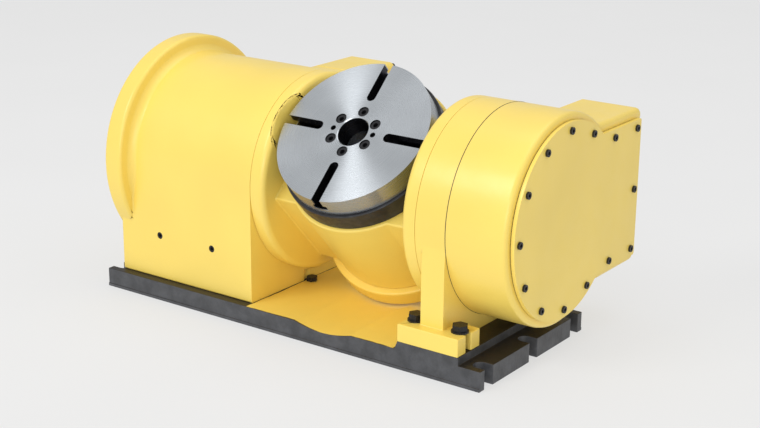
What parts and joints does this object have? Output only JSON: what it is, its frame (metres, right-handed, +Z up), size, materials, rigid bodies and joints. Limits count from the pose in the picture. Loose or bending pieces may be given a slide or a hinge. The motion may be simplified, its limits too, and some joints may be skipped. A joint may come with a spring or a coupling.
{
  "type": "tilting rotary table",
  "caption": "Two-axis workholding table: a T-slotted faceplate spins on a cradle that tilts between a drive housing and a support bracket on one base.",
  "frame": {"origin": "on the underside of the base, straight below the point where the tilt axis and the table axis cross", "axes": "+X along the tilt axis towards the support bracket, +Y to the back (the motor covers' side), +Z up"},
  "size_m": [0.6106, 0.3444, 0.3232],
  "materials": {
    "base_iron": "oiled, ground top",
    "yellow_paint": "satin",
    "black_oxide": "black oxide",
    "motor_black": "satin",
    "bearing_steel": "polished",
    "shaft_steel": "ground",
    "rubber": "matt",
    "aluminium": "machined",
    "wheel_bronze": "machined",
    "black_ring": "satin",
    "plate_steel": "turned and ground"
  },
  "bodies": {
    "frame": {"base_casting": "base_iron", "left_housing": "yellow_paint", "housing_plugs": "black_oxide", "housing_foot_bolts": "black_oxide", "left_end_cover": "yellow_paint", "end_cover_screws": "black_oxide", "rear_motor_cover": "yellow_paint", "rear_cover_screws": "black_oxide", "tilt_motor": "motor_black", "tilt_worm_bearings": "bearing_steel", "left_trunnion_bearing": "bearing_steel", "tail_bearing": "bearing_steel", "brake_caliper_ring": "shaft_steel", "support_bracket": "yellow_paint", "bracket_bolts": "black_oxide", "right_trunnion_bearing": "bearing_steel", "right_housing": "yellow_paint", "housing_screws": "black_oxide", "side_cover_gasket": "rubber", "side_cover": "yellow_paint", "side_cover_screws": "black_oxide", "rotary_motor": "motor_black", "motor_plate": "aluminium", "drive_belt": "rubber", "cable_connectors": "aluminium"},
    "cradle": {"cradle_casting": "yellow_paint", "left_trunnion": "shaft_steel", "trunnion_bolts": "black_oxide", "right_trunnion": "shaft_steel", "tilt_worm_wheel": "wheel_bronze", "tail_nut": "black_oxide", "brake_disc": "shaft_steel", "seal_ring": "black_ring", "upper_spindle_bearing": "bearing_steel", "lower_spindle_bearing": "bearing_steel", "bottom_cap": "yellow_paint", "bottom_cap_screws": "black_oxide", "rotary_worm_bearings": "bearing_steel", "drive_shaft_bearing": "bearing_steel", "shaft_end_bearing": "bearing_steel"},
    "table": {"faceplate": "plate_steel", "faceplate_screws": "black_oxide", "spindle": "shaft_steel", "rotary_worm_wheel": "wheel_bronze", "spindle_nut": "black_oxide"},
    "tilt_worm_shaft": {"tilt_worm": "shaft_steel", "motor_coupling": "aluminium"},
    "rotary_worm_shaft": {"rotary_worm": "shaft_steel", "worm_gear": "shaft_steel"},
    "drive_shaft_line": {"drive_shaft": "shaft_steel", "drive_gear": "shaft_steel", "drive_pulley": "aluminium"},
    "motor_pulley_line": {"motor_pulley": "aluminium"}
  },
  "joints": [
    {"name": "cradle_tilt", "type": "hinge", "parent": "frame", "child": "cradle", "pos_m": [0, 0, 0.171], "axis": [1, 0, 0], "range_deg": [-43, 62]},
    {"name": "table_spin", "type": "hinge", "parent": "cradle", "child": "table", "pos_m": [0, -0.07843, 0.25511], "axis": [0, -0.682, 0.7314], "continuous": true},
    {"name": "tilt_worm_spin", "type": "hinge", "parent": "frame", "child": "tilt_worm_shaft", "pos_m": [-0.165, 0, 0.243], "axis": [0, 1, 0], "range_deg": [-4600, 4600]},
    {"name": "rotary_worm_spin", "type": "hinge", "parent": "cradle", "child": "rotary_worm_shaft", "pos_m": [0, 0.05266, 0.2201], "axis": [1, 0, 0], "continuous": true},
    {"name": "drive_shaft_spin", "type": "hinge", "parent": "cradle", "child": "drive_shaft_line", "pos_m": [0, 0, 0.171], "axis": [1, 0, 0], "continuous": true},
    {"name": "motor_pulley_spin", "type": "hinge", "parent": "frame", "child": "motor_pulley_line", "pos_m": [0.2, 0.126, 0.171], "axis": [1, 0, 0], "continuous": true}
  ],
  "couplings": [
    {"joint": "tilt_worm_spin", "follows": "cradle_tilt", "ratio": 72},
    {"joint": "rotary_worm_spin", "follows": "table_spin", "ratio": 72},
    {"joint": "drive_shaft_spin", "follows": "table_spin", "ratio": -72},
    {"joint": "motor_pulley_spin", "follows": "table_spin", "ratio": -144}
  ]
}
